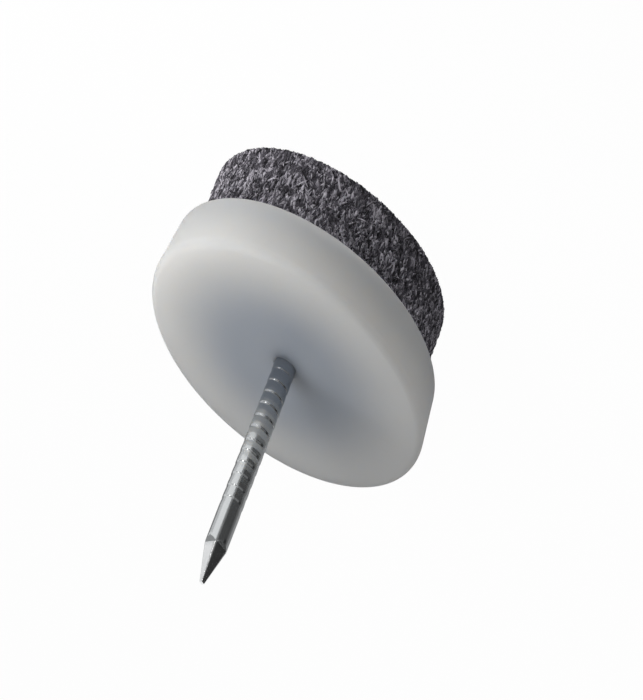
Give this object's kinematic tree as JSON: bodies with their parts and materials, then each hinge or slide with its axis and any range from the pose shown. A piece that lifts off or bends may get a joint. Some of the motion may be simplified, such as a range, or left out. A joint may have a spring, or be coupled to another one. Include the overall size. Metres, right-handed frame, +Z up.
{
  "type": "nail-on furniture glide",
  "caption": "Round plastic glide with a felt pad underneath and a ringed wire nail on top, driven into the foot of a wooden chair or table leg so that it slides on the floor.",
  "frame": {"origin": "centre of the felt's sliding face, which stands on the floor", "axes": "+Z up along the nail, from the felt towards the nail's point; the nail's point has its flats towards +X, -X, +Y and -Y"},
  "size_m": [0.0208, 0.0208, 0.0218],
  "materials": {
    "natural_plastic": "satin",
    "bright_steel": "satin",
    "grey_felt": "matte"
  },
  "bodies": {
    "root": {"glide_body": "natural_plastic", "nail": "bright_steel", "felt_pad": "grey_felt"}
  },
  "joints": []
}
